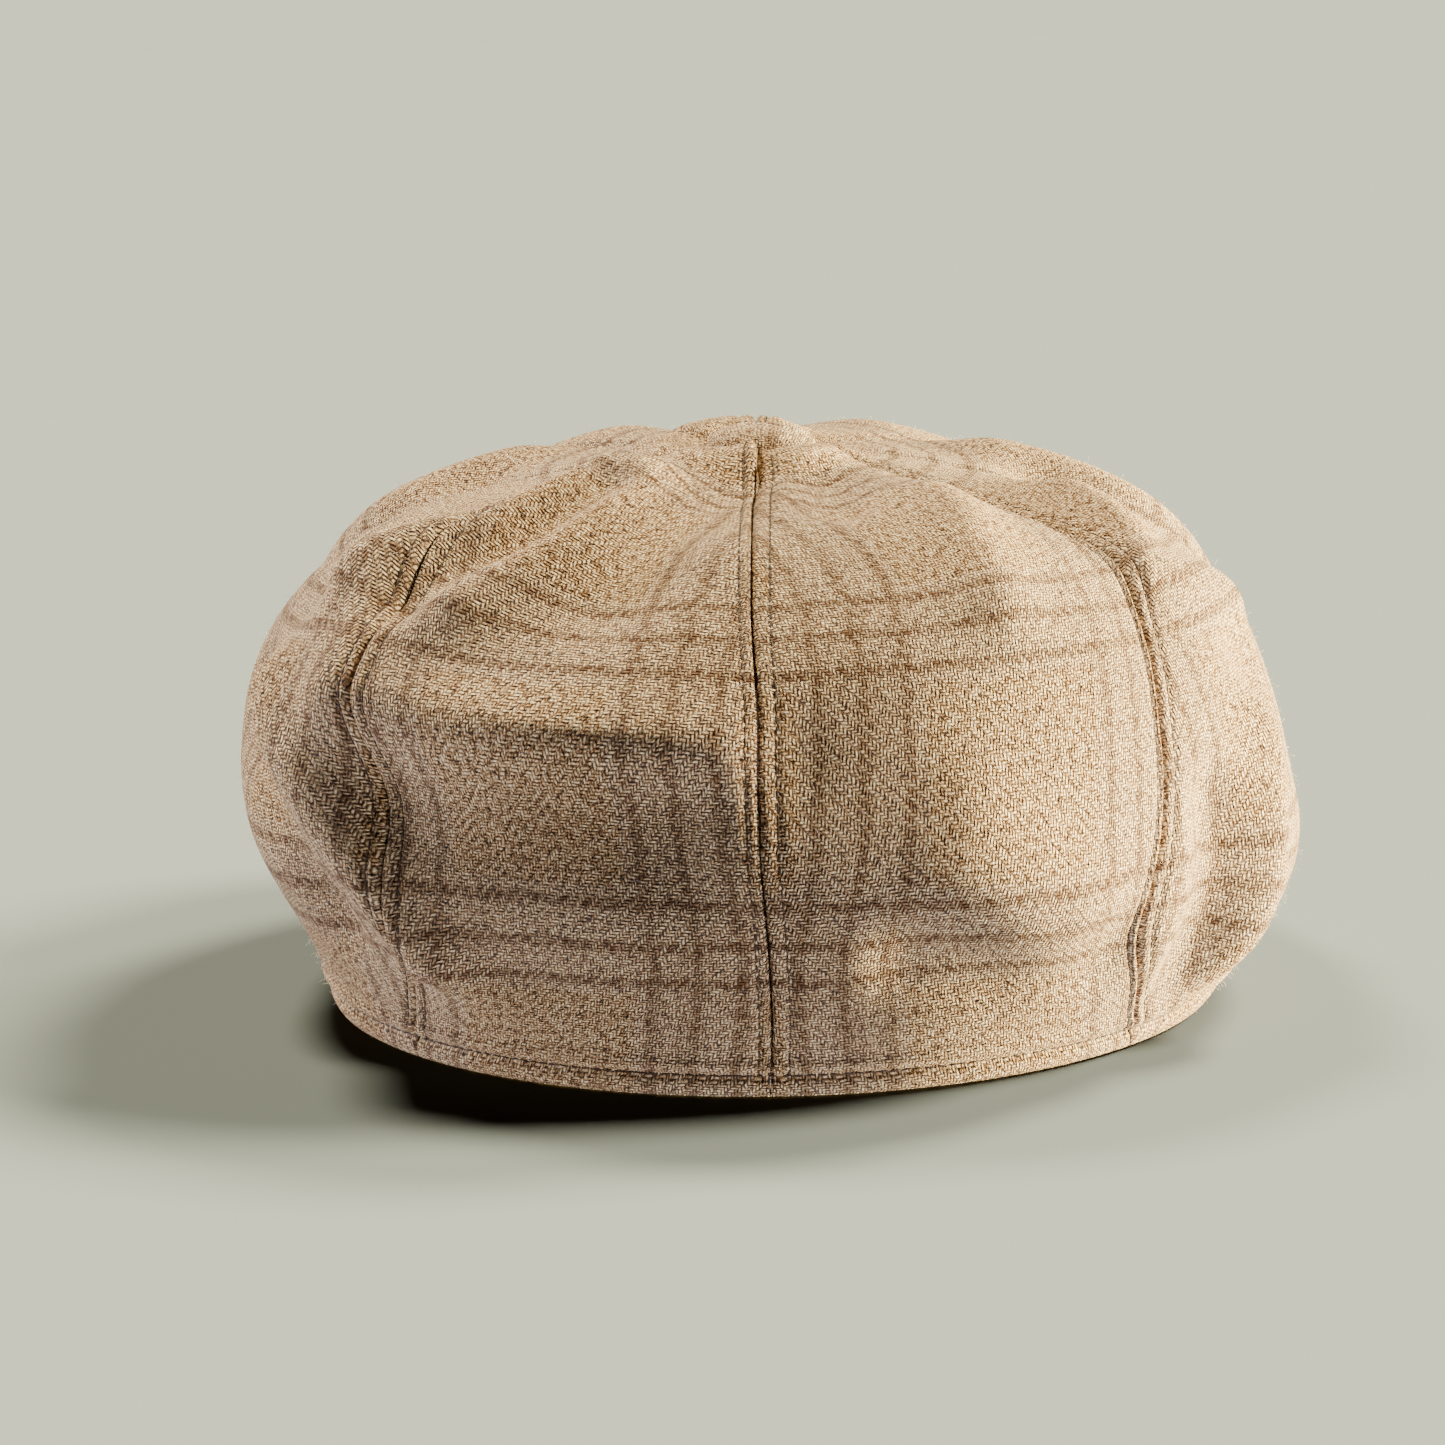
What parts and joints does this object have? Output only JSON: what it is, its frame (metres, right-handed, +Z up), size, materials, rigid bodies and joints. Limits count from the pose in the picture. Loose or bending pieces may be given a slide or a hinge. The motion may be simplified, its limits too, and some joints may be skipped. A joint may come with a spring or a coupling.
{
  "type": "newsboy cap",
  "caption": "Wool tweed newsboy cap with a full panelled crown, covered top button, folded hem, lining, sweatband and short stiffened peak that flexes at its seam.",
  "frame": {"origin": "middle of the whole cap's footprint, on the plane of the hem that it stands on", "axes": "+Z up from the hem to the button; -Y forward along the peak, +Y to the back of the head; +X to the wearer's left"},
  "size_m": [0.2262, 0.29, 0.1233],
  "materials": {
    "tweed": "oatmeal and brown wool tweed with a rust-brown triple-line overcheck, soft and slightly hairy",
    "lining_satin": "brown satin lining",
    "sweatband_twill": "dark brown cotton twill",
    "stay_tape": "undyed cotton tape",
    "peak_board": "matt stiffener board",
    "button_metal": "plain pressed metal",
    "washer_plastic": "dark matt plastic",
    "label_satin": "blank woven satin label"
  },
  "bodies": {
    "crown": {"crown_panel_back_left": "tweed", "crown_panel_rear_side_left": "tweed", "crown_panel_front_side_left": "tweed", "crown_panel_front_left": "tweed", "crown_panel_front_right": "tweed", "crown_panel_front_side_right": "tweed", "crown_panel_rear_side_right": "tweed", "crown_panel_back_right": "tweed", "lining_panel_back_left": "lining_satin", "lining_panel_rear_side_left": "lining_satin", "lining_panel_front_side_left": "lining_satin", "lining_panel_front_left": "lining_satin", "lining_panel_front_right": "lining_satin", "lining_panel_front_side_right": "lining_satin", "lining_panel_rear_side_right": "lining_satin", "lining_panel_back_right": "lining_satin", "sweatband": "sweatband_twill", "hem_stay_tape": "stay_tape", "button_cover": "tweed", "button_shell": "button_metal", "button_back": "button_metal", "button_washer": "washer_plastic", "maker_label": "label_satin", "size_tab": "label_satin"},
    "peak": {"peak_top_cloth": "tweed", "peak_board": "peak_board", "peak_under_cloth": "tweed"}
  },
  "joints": [
    {"name": "peak_flex", "type": "hinge", "parent": "crown", "child": "peak", "pos_m": [0, -0.06256, 0.01], "axis": [-1, 0, 0], "range_deg": [-8, 8], "stiffness_Nm_per_rad": 0.5}
  ]
}
